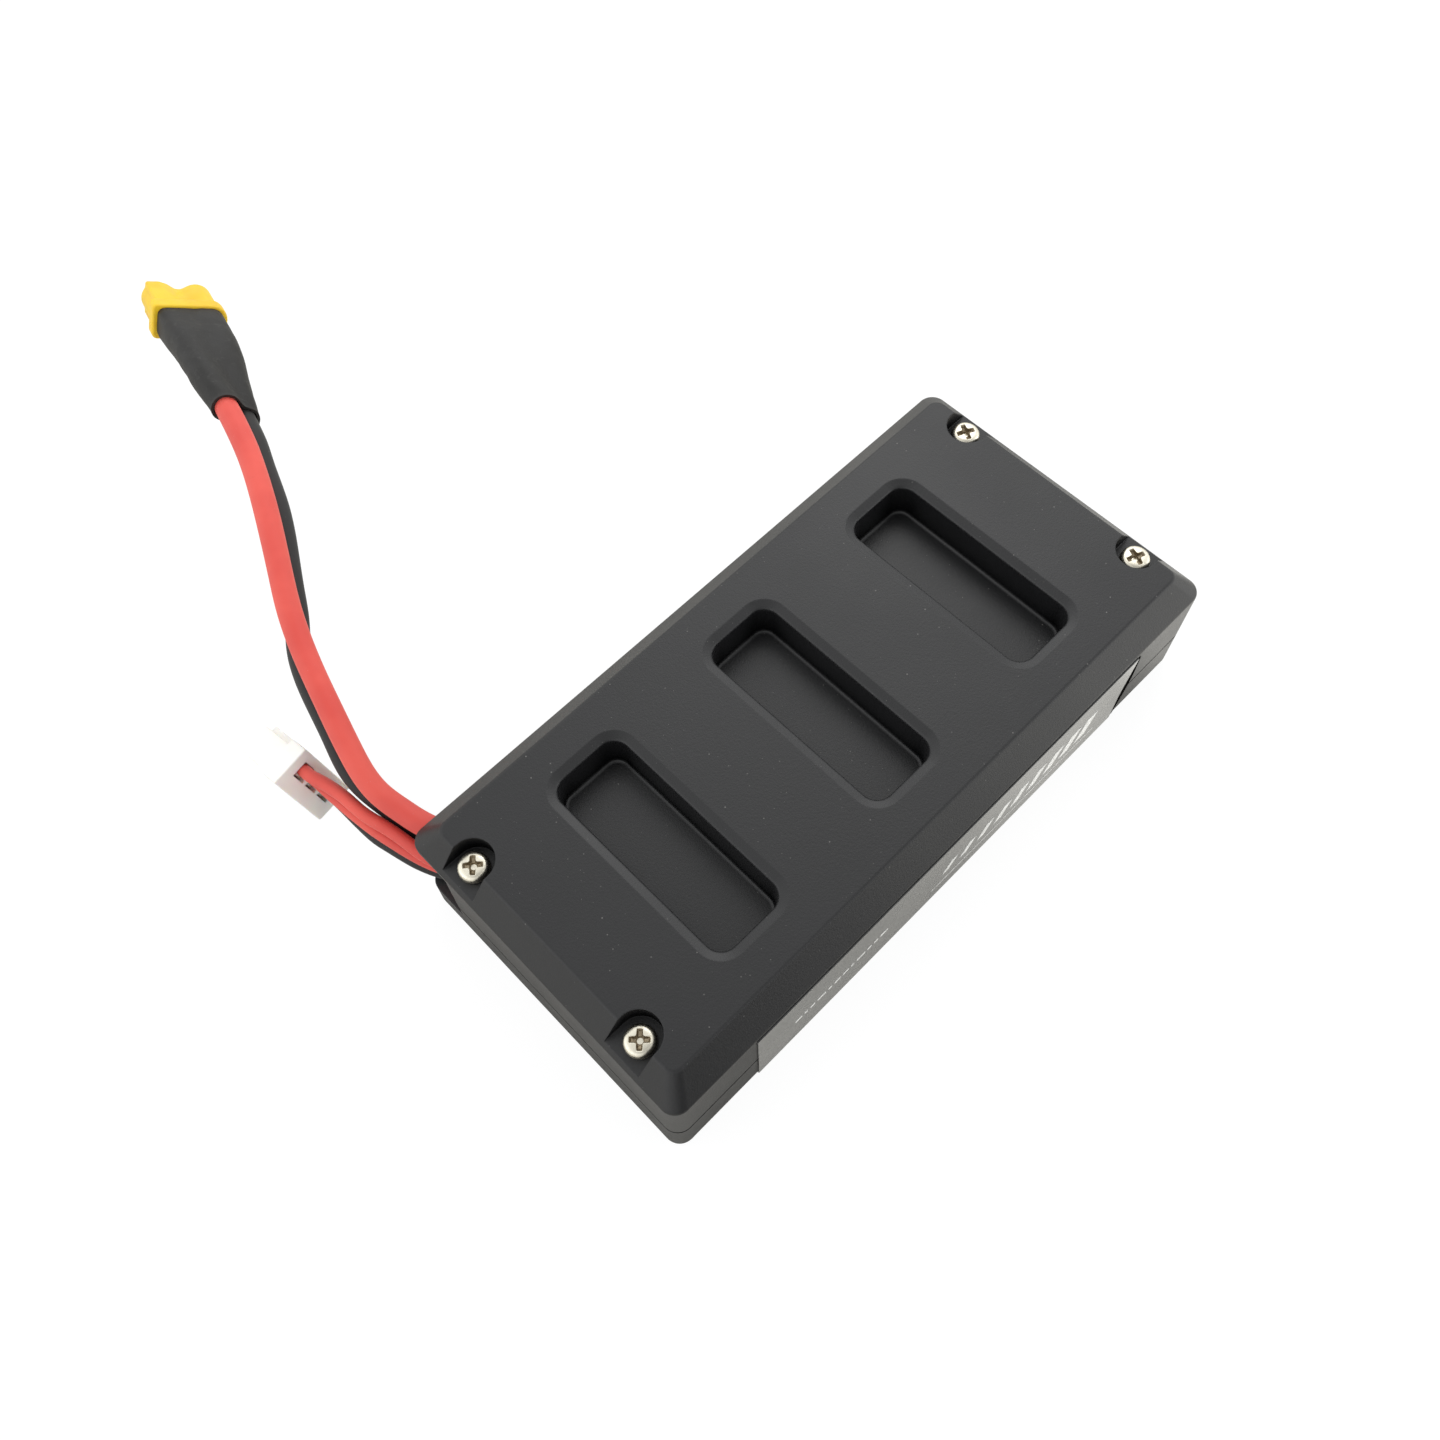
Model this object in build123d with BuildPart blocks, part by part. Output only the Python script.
from build123d import *
import os

# Two-cell hard-case lithium polymer pack for a model multirotor.
# Units are millimetres.  +X runs from the lead end to the far end, +Y towards the
# long side where the leads come out, +Z up through the screwed cover.
# The origin is the centre of the footprint, on the plane the pack rests on.

# ---------------------------------------------------------------- case
CASE_W = 46.1            # width over the two long walls
CASE_H = 21.4            # table to deck
BASE_LEN = 94.9          # length at the resting plane
SHOULDER_LEN = 93.45     # length where the wall meets the wide chamfer
SHOULDER_Z = 17.85       # height where the wall meets the wide chamfer
SEAM_Z = 7.85            # height of the parting line
SEAM_GAP = 0.12          # visible line between the two shells
RIM_Z = SEAM_Z + SEAM_GAP    # lower rim of the cover
CORNER_R = 2.1           # vertical corner rounding
DECK_LEN = 87.5
DECK_W = 40.1
DECK_R = 1.4
WALL = 1.6
ROOF_Z = CASE_H - 1.6    # underside of the deck
FLOOR_T = 1.6
INNER_R = 0.9            # vertical corners of the hollows
OVERLAP = 0.2            # sinks an added feature into its neighbour

# ---------------------------------------------------------------- deck recesses
RECESS_X = (-25.9, -0.3, 25.4)
RECESS_LEN = 28.8        # along Y
RECESS_WID = 10.35       # along X
RECESS_R = 2.2
RECESS_FLOOR_Z = 16.1
RECESS_DRAFT = 0.25      # inset of the floor on each side
LIP_W = 1.25             # soft bevel around each recess
LIP_Z = CASE_H - 0.38    # foot of that bevel
TUB_WALL = 1.4
TUB_Z = RECESS_FLOOR_Z - TUB_WALL    # underside of the tubs

# ---------------------------------------------------------------- screws
SCREW_X = 43.25
SCREW_Y = 14.1
SEAT_R = 2.75
SEAT_Z = 18.5
SHANK_R = 1.0
BOSS_R = 2.3
POST_TOP_Z = 15.0

# ---------------------------------------------------------------- lead outlet (corner -X, +Y)
OUTLET_Y = 16.1          # the end wall is open beyond this
OUTLET_X = -39.8         # the long wall is open before this
OUTLET_TOP_Z = 17.2
OUTLET_SILL_Z = 5.2
OUTSIDE_X = -50          # clear of the case, where the outlet cuts start

# ---------------------------------------------------------------- contents and label
LABEL_LEN = 68.3
CELL_LEN = 66.0
CELL_W = 40.6
CELL_T = 5.6
CELL_X = -27.0           # tab end of the pouch body
LOWER_Z = 2.05
UPPER_Z = LOWER_Z + CELL_T + 0.30
CELL_TOP = UPPER_Z + CELL_T
BOARD_X = -33.2          # face of the junction board towards the lead end
BOARD_T = 1.0
POWER_D = 3.1            # 16 AWG silicone lead, outside diameter
SENSE_D = 1.75           # 22 AWG silicone balance lead, outside diameter

# ---------------------------------------------------------------- plugs
# Each plane lies on the lead side of a housing: x across the contacts, z towards the nose.
POWER_PLANE = Plane(origin=(-20.106, 103.014, 23.828),
                    x_dir=(-0.8358, 0.2973, 0.4616), z_dir=(0.2280, 0.9527, -0.2008))
BALANCE_PLANE = Plane(origin=(-50.08, 42.13, 8.45),
                      x_dir=(-0.1310, 0.3468, 0.9287), z_dir=(-0.0650, 0.9323, -0.3557))
BARREL_X = 5.0 / 2       # half the pitch of the power contacts
BARRELS = ((-BARREL_X, 0), (BARREL_X, 0))
COLLAR_T = 2.1
NOSE_LEN = 5.4
NOSE_TIP = COLLAR_T + NOSE_LEN
BALANCE_PITCH = 2.5
CAVITY_Y = 0.5           # centre line of the balance contact cavities
BALANCE_WIRE_Y = 0.72


def length_at(z):
    """Case length at height z: the end walls lean out towards the table."""
    return BASE_LEN + (SHOULDER_LEN - BASE_LEN) * z / SHOULDER_Z


def four_corners(x, y):
    """Points mirrored into all four quadrants."""
    return [(side_x * x, side_y * y) for side_x in (-1, 1) for side_y in (-1, 1)]


def level_at(z, tolerance=1e-3):
    """Filter for edges that lie flat at height z."""
    return lambda edge: (abs(edge.bounding_box().min.Z - z) < tolerance
                         and abs(edge.bounding_box().max.Z - z) < tolerance)


SCREWS = four_corners(SCREW_X, SCREW_Y)


# ================================================================= top cover
def make_cover_envelope():
    """Solid outer form of the cover: leaning walls, wide chamfer, flat deck."""
    deck_fillet = 0.55
    shoulder_fillet = 0.45
    with BuildPart() as envelope:
        with BuildSketch(Plane.XY.offset(RIM_Z)):
            RectangleRounded(length_at(RIM_Z), CASE_W, CORNER_R)
        with BuildSketch(Plane.XY.offset(SHOULDER_Z)):
            RectangleRounded(SHOULDER_LEN, CASE_W, CORNER_R)
        loft(ruled=True)
        with BuildSketch(Plane.XY.offset(SHOULDER_Z)):
            RectangleRounded(SHOULDER_LEN, CASE_W, CORNER_R)
        with BuildSketch(Plane.XY.offset(CASE_H)):
            RectangleRounded(DECK_LEN, DECK_W, DECK_R)
        loft(ruled=True)
        fillet(envelope.edges().group_by(Axis.Z)[-1], deck_fillet)
        fillet(envelope.edges().filter_by(level_at(SHOULDER_Z)), shoulder_fillet)
    return envelope.part


def make_screw_pads():
    """Pads and bosses under the four screw seats, kept inside the skin of the cover."""
    skin = 0.5
    pad_r = SEAT_R + 1.3
    pad_z = SEAT_Z - 1.6
    with BuildPart() as pads:
        with BuildSketch(Plane.XY.offset(pad_z)):
            with Locations(*SCREWS):
                Circle(pad_r)
            with Locations(*four_corners(SCREW_X + 1.0, SCREW_Y)):
                Rectangle(2.2, 2 * pad_r)
        extrude(amount=ROOF_Z - pad_z + OVERLAP)
        with BuildSketch(Plane.XY.offset(POST_TOP_Z + 0.2)):
            with Locations(*SCREWS):
                Circle(BOSS_R)
        extrude(amount=pad_z - POST_TOP_Z)
        with BuildSketch(Plane.XY.offset(RIM_Z)):
            RectangleRounded(length_at(RIM_Z) - 2 * skin, CASE_W - 2 * skin, CORNER_R - skin)
        with BuildSketch(Plane.XY.offset(SHOULDER_Z - 0.3)):
            RectangleRounded(SHOULDER_LEN - 2 * skin, CASE_W - 2 * skin, CORNER_R - skin)
        with BuildSketch(Plane.XY.offset(CASE_H)):
            RectangleRounded(DECK_LEN - 2 * skin, DECK_W - 2 * skin, DECK_R - skin)
        loft(ruled=True, mode=Mode.INTERSECT)
    return pads.part


def make_top_cover():
    inner_shoulder_z = SHOULDER_Z - 0.58
    deck_inset = 1.5         # deck size less the size of the hollow beneath it
    floor_fillet = 0.5
    lip_fillet = 0.45
    clearance_r = 1.15
    rebate_h = 1.75
    rebate_growth = 1.7      # rebate size over the size of the hollow
    below_rim = 0.5          # how far the cuts start under the rim
    seat_run = 8.0           # from the screw axis out past the end face
    with BuildPart() as cover:
        add(make_cover_envelope())
        # hollow, following the drafted wall and the chamfer
        with BuildSketch(Plane.XY.offset(RIM_Z - below_rim)):
            RectangleRounded(length_at(RIM_Z) - 2 * WALL, CASE_W - 2 * WALL, INNER_R)
        with BuildSketch(Plane.XY.offset(inner_shoulder_z)):
            RectangleRounded(SHOULDER_LEN - 2 * WALL, CASE_W - 2 * WALL, INNER_R)
        with BuildSketch(Plane.XY.offset(ROOF_Z)):
            RectangleRounded(DECK_LEN - deck_inset, DECK_W - deck_inset, INNER_R)
        loft(ruled=True, mode=Mode.SUBTRACT)
        # tubs under the three recesses
        with BuildSketch(Plane.XY.offset(TUB_Z)):
            with Locations(*[(x, 0) for x in RECESS_X]):
                RectangleRounded(RECESS_WID + 2 * TUB_WALL, RECESS_LEN + 2 * TUB_WALL,
                                 RECESS_R + TUB_WALL)
        extrude(amount=ROOF_Z - TUB_Z + 0.3)
        # recesses, each with a soft bevel running round its mouth
        for x in RECESS_X:
            for z, growth in ((CASE_H, LIP_W), (LIP_Z, 0), (RECESS_FLOOR_Z, -RECESS_DRAFT)):
                with BuildSketch(Plane.XY.offset(z)):
                    with Locations((x, 0)):
                        RectangleRounded(RECESS_WID + 2 * growth, RECESS_LEN + 2 * growth,
                                         RECESS_R + growth)
            loft(ruled=True, mode=Mode.SUBTRACT)
        floor_edges = cover.edges().filter_by(level_at(RECESS_FLOOR_Z)).filter_by(
            lambda edge: abs(edge.center().Y) < RECESS_LEN / 2 + 0.5)
        fillet(floor_edges, floor_fillet)
        fillet(cover.edges().filter_by(level_at(LIP_Z, tolerance=2e-3)), lip_fillet)
        # pads that carry the screw seats, then the seats, open to the end faces
        add(make_screw_pads())
        with BuildSketch(Plane.XY.offset(SEAT_Z)):
            with Locations(*SCREWS):
                Circle(SEAT_R)
            with Locations(*four_corners(SCREW_X + seat_run / 2, SCREW_Y)):
                Rectangle(seat_run, 2 * SEAT_R)
        extrude(amount=CASE_H - SEAT_Z + 1, mode=Mode.SUBTRACT)
        # screw clearance holes
        with BuildSketch(Plane.XY.offset(POST_TOP_Z - 1)):
            with Locations(*SCREWS):
                Circle(clearance_r)
        extrude(amount=8, mode=Mode.SUBTRACT)
        # rebate inside the rim that drops over the tray's tongue
        with BuildSketch(Plane.XY.offset(RIM_Z - below_rim)):
            RectangleRounded(length_at(RIM_Z) - 2 * WALL + rebate_growth,
                             CASE_W - 2 * WALL + rebate_growth, 1.6)
        extrude(amount=below_rim + rebate_h, mode=Mode.SUBTRACT)
        # lead outlet: the end wall, then the long wall, up to just under the chamfer
        with BuildSketch(Plane.YZ.offset(OUTSIDE_X)):
            with Locations((OUTLET_Y, 0)):
                Rectangle(20, OUTLET_TOP_Z, align=(Align.MIN, Align.MIN))
        extrude(amount=-45.0 - OUTSIDE_X, mode=Mode.SUBTRACT)
        with BuildSketch(Plane.XZ.offset(-30)):
            with Locations((OUTLET_X, 0)):
                Rectangle(20, OUTLET_TOP_Z, align=(Align.MAX, Align.MIN))
        extrude(amount=30 - 21.0, mode=Mode.SUBTRACT)
    return cover.part


# ================================================================= bottom tray
def make_bottom_tray():
    bottom_fillet = 0.9
    tongue_h = 1.6
    tongue_root = 0.5        # depth of the tongue below the seam
    tongue_growth = 1.4      # tongue size over the size of the hollow
    rib_z = FLOOR_T - OVERLAP
    flat_x = 44.95
    pilot_depth = 10
    label_recess = 0.24
    with BuildPart() as tray:
        with BuildSketch(Plane.XY):
            RectangleRounded(BASE_LEN, CASE_W, CORNER_R)
        with BuildSketch(Plane.XY.offset(SEAM_Z)):
            RectangleRounded(length_at(SEAM_Z), CASE_W, CORNER_R)
        loft(ruled=True)
        fillet(tray.edges().group_by(Axis.Z)[0], bottom_fillet)
        # tongue that locates the cover
        with BuildSketch(Plane.XY.offset(SEAM_Z - tongue_root)):
            RectangleRounded(length_at(SEAM_Z) - 2 * WALL + tongue_growth,
                             CASE_W - 2 * WALL + tongue_growth, 1.5)
        extrude(amount=tongue_root + tongue_h)
        # hollow
        with BuildSketch(Plane.XY.offset(FLOOR_T)):
            RectangleRounded(length_at(SEAM_Z) - 2 * WALL, CASE_W - 2 * WALL, INNER_R)
        extrude(amount=20, mode=Mode.SUBTRACT)
        # screw posts with web ribs to the end walls
        with BuildSketch(Plane.XY.offset(rib_z)):
            with Locations(*SCREWS):
                Circle(BOSS_R)
        extrude(amount=POST_TOP_Z - rib_z)
        with BuildSketch(Plane.XY.offset(rib_z)):
            with Locations(*four_corners(SCREW_X + 1.7, SCREW_Y)):
                Rectangle(2.6, 1.0)
        extrude(amount=SEAM_Z - FLOOR_T)
        # stop ribs that hold the cells endwise
        with BuildSketch(Plane.XY.offset(rib_z)):
            with Locations((39.75, 8.0), (39.75, -8.0)):
                Rectangle(1.0, 6.0)
        extrude(amount=4.2)
        # guide ribs on both faces of the junction board that hold it upright
        with BuildSketch(Plane.XY.offset(rib_z)):
            with Locations((-33.9, 13.2), (-33.9, -13.2), (-31.3, 13.2), (-31.3, -13.2)):
                Rectangle(1.2, 2.4)
        extrude(amount=2.6)
        # the posts are flattened where the cover's leaning end wall comes down past them
        with BuildSketch(Plane.XY.offset(SEAM_Z + 1.65)):
            with Locations((flat_x, 0)):
                Rectangle(5, CASE_W, align=(Align.MIN, Align.CENTER))
            with Locations((-flat_x, 0)):
                Rectangle(5, CASE_W, align=(Align.MAX, Align.CENTER))
        extrude(amount=10, mode=Mode.SUBTRACT)
        # screw holes in the posts
        with BuildSketch(Plane.XY.offset(POST_TOP_Z - pilot_depth)):
            with Locations(*SCREWS):
                Circle(SHANK_R + 0.06)
        extrude(amount=pilot_depth + 0.5, mode=Mode.SUBTRACT)
        # shallow field under the case for the wrap-round label
        with BuildSketch(Plane.XY):
            Rectangle(LABEL_LEN + 0.5, CASE_W + 2)
        extrude(amount=label_recess, mode=Mode.SUBTRACT)
        # sill of the lead outlet
        with BuildSketch(Plane.XY.offset(OUTLET_SILL_Z)):
            with Locations((OUTSIDE_X, OUTLET_Y)):
                Rectangle(5.2, 20, align=(Align.MIN, Align.MIN))
            with Locations((OUTSIDE_X, 20.6)):
                Rectangle(OUTLET_X - OUTSIDE_X, 20, align=(Align.MIN, Align.MIN))
        extrude(amount=20, mode=Mode.SUBTRACT)
    return tray.part


# ================================================================= screws
def make_case_screws():
    head_r = 1.95
    head_h = 1.35
    head_z = SEAT_Z + 0.02   # underside of the head
    tip_z = head_z - 9.5
    slot_w = 0.52
    slot_len = 2.1
    with BuildPart() as screws:
        for x, y in SCREWS:
            with BuildSketch(Plane(origin=(x, y, 0), x_dir=(1, 0, 0), z_dir=(0, -1, 0))):
                with BuildLine():
                    # half section, as radius and height
                    Polyline((0, tip_z), (0.25, tip_z + 0.35), (SHANK_R, tip_z + 2.1),
                             (SHANK_R, head_z), (head_r - 0.12, head_z),
                             (head_r, head_z + 0.15), (head_r, head_z + 0.55))
                    ThreePointArc((head_r, head_z + 0.55),
                                  (head_r * 0.74, head_z + head_h - 0.22),
                                  (0, head_z + head_h))
                    Line((0, head_z + head_h), (0, tip_z))
                make_face()
            revolve(axis=Axis((x, y, 0), (0, 0, 1)))
        # cross recess
        with BuildSketch(Plane.XY.offset(SEAT_Z + head_h + 0.1)):
            with Locations(*SCREWS):
                Rectangle(slot_len, slot_w)
                Rectangle(slot_w, slot_len)
                Rectangle(0.85, 0.85, rotation=45)
        extrude(amount=-0.95, taper=12, mode=Mode.SUBTRACT)
    return screws.part


# ================================================================= wrap-round label
def make_wrap_label():
    """U-shaped label under the case and up both long walls."""
    thickness = 0.16
    gap = 0.03
    height = 17.1
    inner_w = 2 * (CASE_W / 2 + gap)
    inner_r = 0.5
    with BuildPart() as label:
        with BuildSketch(Plane.YZ.offset(-LABEL_LEN / 2)):
            with Locations((0, gap)):
                outer = Rectangle(inner_w + 2 * thickness, height,
                                  align=(Align.CENTER, Align.MIN))
            fillet(outer.vertices().group_by(Axis.Y)[0], inner_r + thickness)
            with BuildSketch(Plane.YZ.offset(-LABEL_LEN / 2), mode=Mode.SUBTRACT):
                with Locations((0, gap + thickness)):
                    inner = Rectangle(inner_w, height + 5, align=(Align.CENTER, Align.MIN))
                fillet(inner.vertices().group_by(Axis.Y)[0], inner_r)
        extrude(amount=LABEL_LEN)
    return label.part


# ================================================================= cells
def make_pouch(z):
    """One pouch cell: soft-edged body with a flat heat-sealed terrace at the tab end."""
    edge_r = 1.1
    terrace_t = 0.3
    with BuildPart() as pouch:
        with BuildSketch(Plane.XY.offset(z)):
            with Locations((CELL_X + CELL_LEN / 2, 0)):
                RectangleRounded(CELL_LEN, CELL_W, 2.0)
        extrude(amount=CELL_T)
        fillet(pouch.edges().group_by(Axis.Z)[0], edge_r)
        fillet(pouch.edges().group_by(Axis.Z)[-1], edge_r)
        with BuildSketch(Plane.XY.offset(z + CELL_T / 2 - terrace_t / 2)):
            with Locations((CELL_X - 0.5, 0)):
                Rectangle(5.0, CELL_W - 1.0)
        extrude(amount=terrace_t)
    return pouch.part


def make_tabs(z, up):
    """The two tabs of one cell, folded up or down against the junction board."""
    tab_w = 5.0
    tab_t = 0.15
    tab_y = 9.0
    flat_len = 2.0
    fold_h = 2.6
    fold_x = BOARD_X + BOARD_T + 0.1
    tab_z = z + CELL_T / 2 - tab_t / 2
    fold_z = tab_z if up else tab_z + tab_t
    with BuildPart() as tabs:
        with BuildSketch(Plane.XY.offset(tab_z)):
            with Locations((fold_x + flat_len / 2, tab_y), (fold_x + flat_len / 2, -tab_y)):
                Rectangle(flat_len, tab_w)
        extrude(amount=tab_t)
        with BuildSketch(Plane.YZ.offset(fold_x)):
            with Locations((tab_y, fold_z), (-tab_y, fold_z)):
                Rectangle(tab_w, fold_h, align=(Align.CENTER, Align.MIN if up else Align.MAX))
        extrude(amount=tab_t)
    return tabs.part


# ================================================================= tapes and foam
def make_pad(x, z, length, width, radius, thickness):
    """Flat rounded pad centred at x, with its underside at z."""
    with BuildPart() as pad:
        with BuildSketch(Plane.XY.offset(z)):
            with Locations((x, 0)):
                RectangleRounded(length, width, radius)
        extrude(amount=thickness)
    return pad.part


def make_polyimide_tape():
    with BuildPart() as tape:
        with BuildSketch(Plane.XY.offset(CELL_TOP + 0.04)):
            with Locations((-26.9, 0)):
                Rectangle(12.6, 26)
        extrude(amount=0.12)
    return tape.part


# ================================================================= junction board
def make_junction_board():
    with BuildPart() as board:
        with BuildSketch(Plane.YZ.offset(BOARD_X)):
            with Locations((0, 2.0)):
                Rectangle(28.0, 11.5, align=(Align.CENTER, Align.MIN))
        extrude(amount=BOARD_T)
    return board.part


def make_solder_joints():
    """Cones between the leads and the board."""
    # y, z, radius at the board, radius at the lead
    joints = (
        (11.8, 11.6, 1.6, 1.2), (11.8, 8.2, 1.6, 1.2),
        (4.5, 9.0, 1.1, 0.7), (1.0, 7.0, 1.1, 0.7), (-2.5, 5.0, 1.1, 0.7),
    )
    with BuildPart() as solder:
        for y, z, board_r, lead_r in joints:
            for x, radius in ((BOARD_X - 0.03, board_r), (BOARD_X - 1.42, lead_r)):
                with BuildSketch(Plane.YZ.offset(x)):
                    with Locations((y, z)):
                        Circle(radius)
            loft()
    return solder.part


# ================================================================= leads
def in_case(plane, x, y, z):
    """Case coordinates of a point given in a plug's plane."""
    point = plane.from_local_coords(Vector(x, y, z))
    return (point.X, point.Y, point.Z)


def power_end(*points):
    """Case coordinates of (x, z) points on the power plug's middle plane."""
    return [in_case(POWER_PLANE, x, 0, z) for x, z in points]


def balance_end(x, z):
    """Last two points of a balance lead: at z behind its cavity, then just inside it."""
    return [in_case(BALANCE_PLANE, x, BALANCE_WIRE_Y, depth) for depth in (z, 0.5)]


# Spline points (x, y, z) of each stretch, running from the board to the plug.
LEADS = {
    "power_lead_red": (POWER_D, {
        "root": [(-34.75, 11.8, 11.6), (-35.35, 11.95, 11.6), (-36.2, 12.9, 11.65),
                 (-37.1, 15.2, 11.8), (-38.4, 17.8, 12.0), (-40.5, 19.75, 12.2),
                 (-42.1, 22.2, 12.45), (-43.6, 25.4, 12.85), (-44.5, 28.8, 13.45)],
        "mid": [(-45.1, 31.8, 14.45), (-45.05, 34.4, 15.5), (-44.4, 37.4, 16.8),
                (-42.8, 42.8, 19.0), (-40.6, 49.7, 21.3), (-38.05, 55.85, 23.15)],
        "tip": [(-36.3, 59.15, 24.05), (-32.8, 65.7, 25.5), (-29.6, 72.6, 26.4),
                (-28.25, 76.1, 26.7)],
        "end": [(-27.35, 78.9, 26.9), (-26.1, 83.5, 27.05), (-25.0, 88.5, 27.0),
                *power_end((2.42, -7.2), (2.5, -4.45))],
    }),
    "power_lead_black": (POWER_D, {
        "root": [(-34.75, 11.8, 8.2), (-35.35, 11.95, 8.2), (-36.2, 12.9, 8.25),
                 (-37.1, 15.2, 8.4), (-38.4, 17.8, 8.6), (-40.5, 19.75, 8.85),
                 (-42.1, 22.2, 9.1), (-43.7, 25.4, 9.5), (-44.6, 28.8, 10.15)],
        "mid": [(-45.2, 31.8, 11.15), (-45.6, 34.2, 12.0), (-45.7, 36.8, 13.0),
                (-44.4, 41.8, 15.3), (-42.5, 48.0, 17.6), (-40.4, 52.6, 18.9),
                (-38.0, 55.85, 19.85)],
        "tip": [(-35.95, 59.15, 20.75), (-33.8, 62.6, 21.7), (-30.25, 68.8, 22.85),
                (-27.38, 76.06, 23.52)],
        "end": [(-26.27, 78.72, 23.79), (-24.89, 83.23, 23.99), (-23.1, 88.0, 24.25),
                *power_end((-2.45, -7.2), (-2.5, -4.45))],
    }),
    "balance_lead_positive": (SENSE_D, {
        "root": [(-34.75, 4.5, 9.0), (-35.4, 4.62, 9.03), (-36.5, 5.6, 9.2),
                 (-38.3, 9.6, 9.5), (-39.5, 13.2, 9.8), (-40.4, 15.8, 9.95),
                 (-42.5, 17.6, 10.1), (-44.2, 19.6, 10.2), (-45.7, 22.4, 10.45),
                 (-46.4, 25.4, 10.85), (-47.0, 28.7, 11.15)],
        "run": [(-47.62, 31.0, 11.38), (-48.1, 33.2, 11.6), (-48.35, 36.0, 11.7),
                (-48.6, 37.6, 11.65)],
        "end": [(-48.95, 39.3, 11.55), *balance_end(BALANCE_PITCH, -1.6)],
    }),
    "balance_lead_middle": (SENSE_D, {
        "root": [(-34.75, 1.0, 7.0), (-35.4, 1.12, 7.02), (-36.5, 2.2, 7.1),
                 (-38.3, 7.5, 7.4), (-39.5, 13.2, 7.9), (-40.4, 15.8, 8.05),
                 (-42.5, 17.6, 8.2), (-44.2, 19.6, 8.3), (-45.75, 22.4, 8.58),
                 (-46.85, 25.3, 9.0), (-47.7, 28.7, 9.25)],
        "run": [(-48.2, 31.0, 9.35), (-48.55, 33.2, 9.35), (-48.85, 36.0, 9.2),
                (-48.98, 37.6, 9.05)],
        "end": [(-49.15, 39.3, 8.9), *balance_end(0, -1.4)],
    }),
    "balance_lead_negative": (SENSE_D, {
        "root": [(-34.75, -2.5, 5.0), (-35.4, -2.38, 5.02), (-36.6, -1.2, 5.1),
                 (-38.4, 5.0, 5.5), (-39.5, 13.2, 6.0), (-40.4, 15.8, 6.15),
                 (-42.5, 17.6, 6.3), (-44.2, 19.6, 6.45), (-45.9, 22.4, 6.72),
                 (-47.1, 25.2, 7.05), (-48.05, 28.7, 7.2)],
        "run": [(-48.55, 31.0, 7.2), (-48.75, 33.2, 7.15), (-48.85, 36.0, 7.0),
                (-48.87, 37.6, 6.85)],
        "end": [(-48.92, 39.2, 6.7), *balance_end(-BALANCE_PITCH, -1.0)],
    }),
}


def make_lead(points, diameter):
    """A round insulated lead following a smooth curve."""
    with BuildPart() as lead:
        with BuildLine() as path:
            Spline(*points)
        with BuildSketch(Plane(origin=path.line @ 0, z_dir=path.line % 0)):
            Circle(diameter / 2)
        sweep()
    return lead.part


# ================================================================= power plug
def make_power_plug_housing():
    boss_len = 2.8
    collar_w = 5.2
    bore_step = 0.8          # where the nose bores meet the wider solder-side bores
    back_z = -3.0            # just behind the boss
    with BuildPart() as housing:
        # solder-side boss, inside the sleeve
        with BuildSketch(POWER_PLANE.offset(-boss_len)):
            RectangleRounded(8.2, 3.8, 1.6)
        extrude(amount=boss_len)
        # collar, softened along the edges of its two long sides
        with BuildSketch(POWER_PLANE):
            RectangleRounded(10.2, collar_w, 1.5)
        extrude(amount=COLLAR_T)
        fillet(housing.edges().filter_by(GeomType.LINE).filter_by(
            lambda edge: abs(abs(POWER_PLANE.to_local_coords(edge.center()).Y)
                             - collar_w / 2) < 0.02), 0.3)
        # nose: two barrels joined by a web, the +x one squared off
        with BuildSketch(POWER_PLANE.offset(COLLAR_T)):
            with Locations((-BARREL_X, 0)):
                Circle(2.22)
            with Locations((BARREL_X, 0)):
                Circle(2.35)
            Rectangle(2 * BARREL_X, 2.8)
            with Locations((BARREL_X + 0.9, 0)):
                Rectangle(2.0, 4.9)
        extrude(amount=NOSE_LEN)
        with BuildSketch(POWER_PLANE.offset(NOSE_TIP)):
            with Locations(*BARRELS):
                Circle(1.22)
        extrude(amount=-(NOSE_TIP - bore_step), mode=Mode.SUBTRACT)
        with BuildSketch(POWER_PLANE.offset(back_z)):
            with Locations(*BARRELS):
                Circle(1.36)
        extrude(amount=bore_step - back_z, mode=Mode.SUBTRACT)
    return housing.part


def make_power_plug_contacts():
    """Two contacts, bored from the nose end and from the solder end."""
    step_z = 0.75            # where the socket meets the wider solder cup
    cup_z = -4.2
    bore_r = 1.0
    with BuildPart() as contacts:
        with BuildSketch(POWER_PLANE.offset(step_z)):
            with Locations(*BARRELS):
                Circle(1.18)
        extrude(amount=NOSE_TIP - step_z - 0.6)
        with BuildSketch(POWER_PLANE.offset(cup_z)):
            with Locations(*BARRELS):
                Circle(1.32)
        extrude(amount=step_z - cup_z)
        with BuildSketch(POWER_PLANE.offset(NOSE_TIP)):
            with Locations(*BARRELS):
                Circle(bore_r)
        extrude(amount=-5.6, mode=Mode.SUBTRACT)
        with BuildSketch(POWER_PLANE.offset(cup_z)):
            with Locations(*BARRELS):
                Circle(bore_r)
        extrude(amount=2.6, mode=Mode.SUBTRACT)
    return contacts.part


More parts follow.
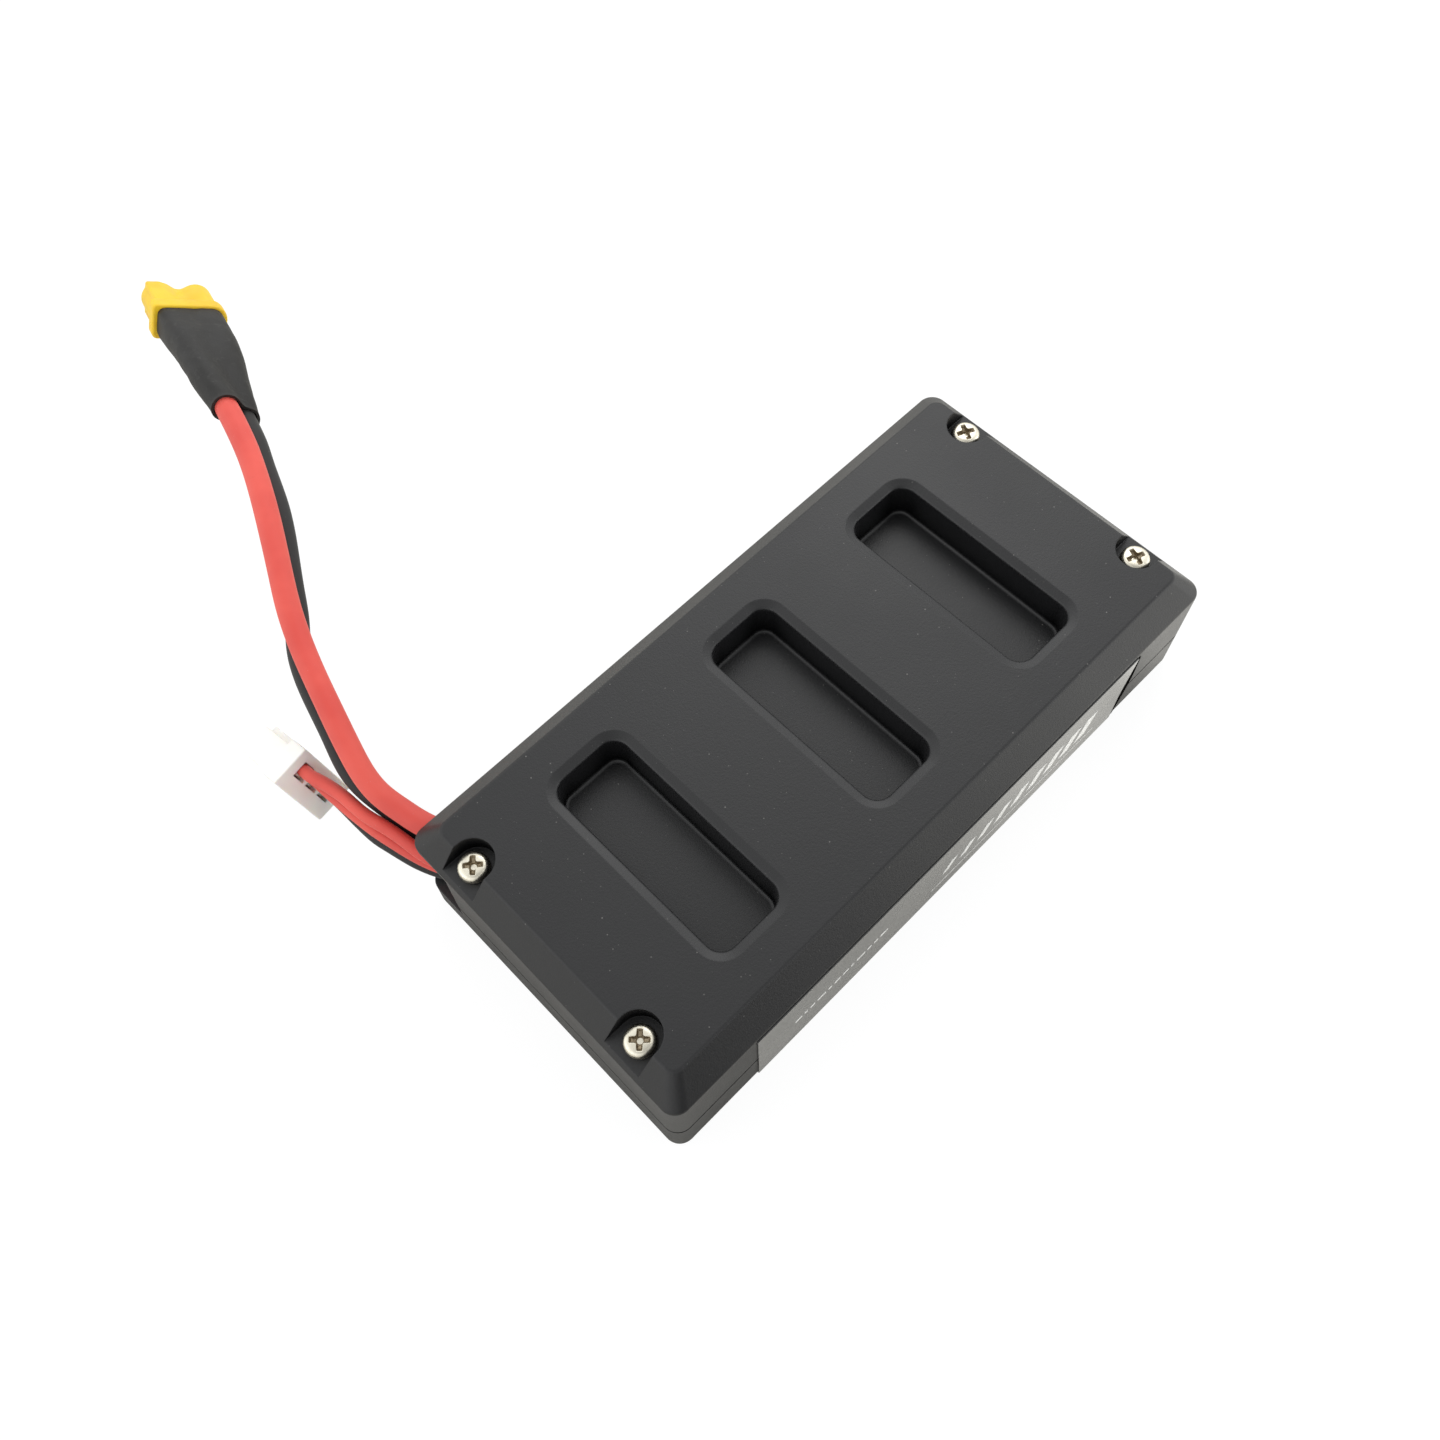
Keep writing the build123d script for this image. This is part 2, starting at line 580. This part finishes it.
def make_power_plug_sleeve():
    """Tapering sleeve over both power leads, ending at the collar."""
    sleeve_t = 0.4
    # plane, length, width, corner radius of the outer section
    sections = (
        (Plane(origin=(-25.5, 83.37, 25.52), x_dir=(-0.367, 0.082, 0.927),
               z_dir=(0.29, 0.955, 0.03)), 7.3, 4.0, 1.95),
        (Plane(origin=(-23.05, 91.65, 25.6), x_dir=(-0.757, 0.13, 0.64),
               z_dir=(0.285, 0.958, -0.045)), 8.3, 4.4, 2.05),
        (POWER_PLANE.offset(-0.08), 9.0, 4.6, 1.7),
    )
    with BuildPart() as sleeve:
        for inset, mode in ((0, Mode.ADD), (sleeve_t, Mode.SUBTRACT)):
            for plane, length, width, radius in sections:
                with BuildSketch(plane):
                    RectangleRounded(length - 2 * inset, width - 2 * inset, radius - inset)
            loft(mode=mode)
    return sleeve.part


# ================================================================= balance plug
def balance_row(y):
    """One point per balance contact, on a line at y."""
    return [(-BALANCE_PITCH, y), (0, y), (BALANCE_PITCH, y)]


def make_balance_plug_housing():
    back_len = 3.4
    front_len = 6.4
    with BuildPart() as housing:
        with BuildSketch(BALANCE_PLANE):
            Rectangle(9.8, 5.75)
        extrude(amount=back_len)
        # narrower front with two ridges
        with BuildSketch(BALANCE_PLANE.offset(back_len)):
            with Locations((0, -0.25)):
                Rectangle(9.1, 4.5)
            with Locations((-2.9, 2.3), (2.9, 2.3)):
                Rectangle(1.1, 1.0)
        extrude(amount=front_len)
        # cavities right through, then a window into each from the -y side
        with BuildSketch(BALANCE_PLANE):
            with Locations(*balance_row(CAVITY_Y)):
                Rectangle(1.95, 2.3)
        extrude(amount=back_len + front_len, mode=Mode.SUBTRACT)
        with BuildSketch(BALANCE_PLANE.offset(4.4)):
            with Locations(*balance_row(-2.2)):
                Rectangle(1.2, 3.2)
        extrude(amount=2.6, mode=Mode.SUBTRACT)
    return housing.part


def make_balance_plug_terminals():
    """Three square terminals, hollow from the nose end."""
    back_z = 1.0
    front_z = 8.6
    with BuildPart() as terminals:
        with BuildSketch(BALANCE_PLANE.offset(back_z)):
            with Locations(*balance_row(CAVITY_Y)):
                Rectangle(1.7, 1.9)
        extrude(amount=front_z - back_z)
        with BuildSketch(BALANCE_PLANE.offset(front_z)):
            with Locations(*balance_row(CAVITY_Y)):
                Rectangle(1.2, 1.35)
        extrude(amount=-5.6, mode=Mode.SUBTRACT)
    return terminals.part


# ================================================================= export
pieces = {
    "top_cover": make_top_cover(),
    "bottom_tray": make_bottom_tray(),
    "case_screws": make_case_screws(),
    "wrap_label": make_wrap_label(),
    "cell_lower": make_pouch(LOWER_Z),
    "cell_upper": make_pouch(UPPER_Z),
    "cell_lower_tabs": make_tabs(LOWER_Z, up=True),
    "cell_upper_tabs": make_tabs(UPPER_Z, up=False),
    "base_bond_tape": make_pad(x=6, z=FLOOR_T + 0.04, length=56, width=34, radius=1,
                               thickness=LOWER_Z - FLOOR_T - 0.08),
    "cell_bond_tape": make_pad(x=6, z=LOWER_Z + CELL_T + 0.03, length=56, width=32, radius=1,
                               thickness=0.24),
    "foam_pad": make_pad(x=9, z=CELL_TOP + 0.04, length=57, width=35, radius=1.5,
                         thickness=TUB_Z - CELL_TOP - 0.12),
    "polyimide_tape": make_polyimide_tape(),
    "junction_board": make_junction_board(),
    "solder_joints": make_solder_joints(),
    "power_plug_housing": make_power_plug_housing(),
    "power_plug_contacts": make_power_plug_contacts(),
    "power_plug_sleeve": make_power_plug_sleeve(),
    "balance_plug_housing": make_balance_plug_housing(),
    "balance_plug_terminals": make_balance_plug_terminals(),
}
for lead_name, (diameter, stretches) in LEADS.items():
    for stretch, points in stretches.items():
        pieces[lead_name + "_" + stretch] = make_lead(points, diameter)

os.makedirs("parts", exist_ok=True)
for name, piece in pieces.items():
    piece.label = name
    export_step(piece, "parts/" + name + ".step")
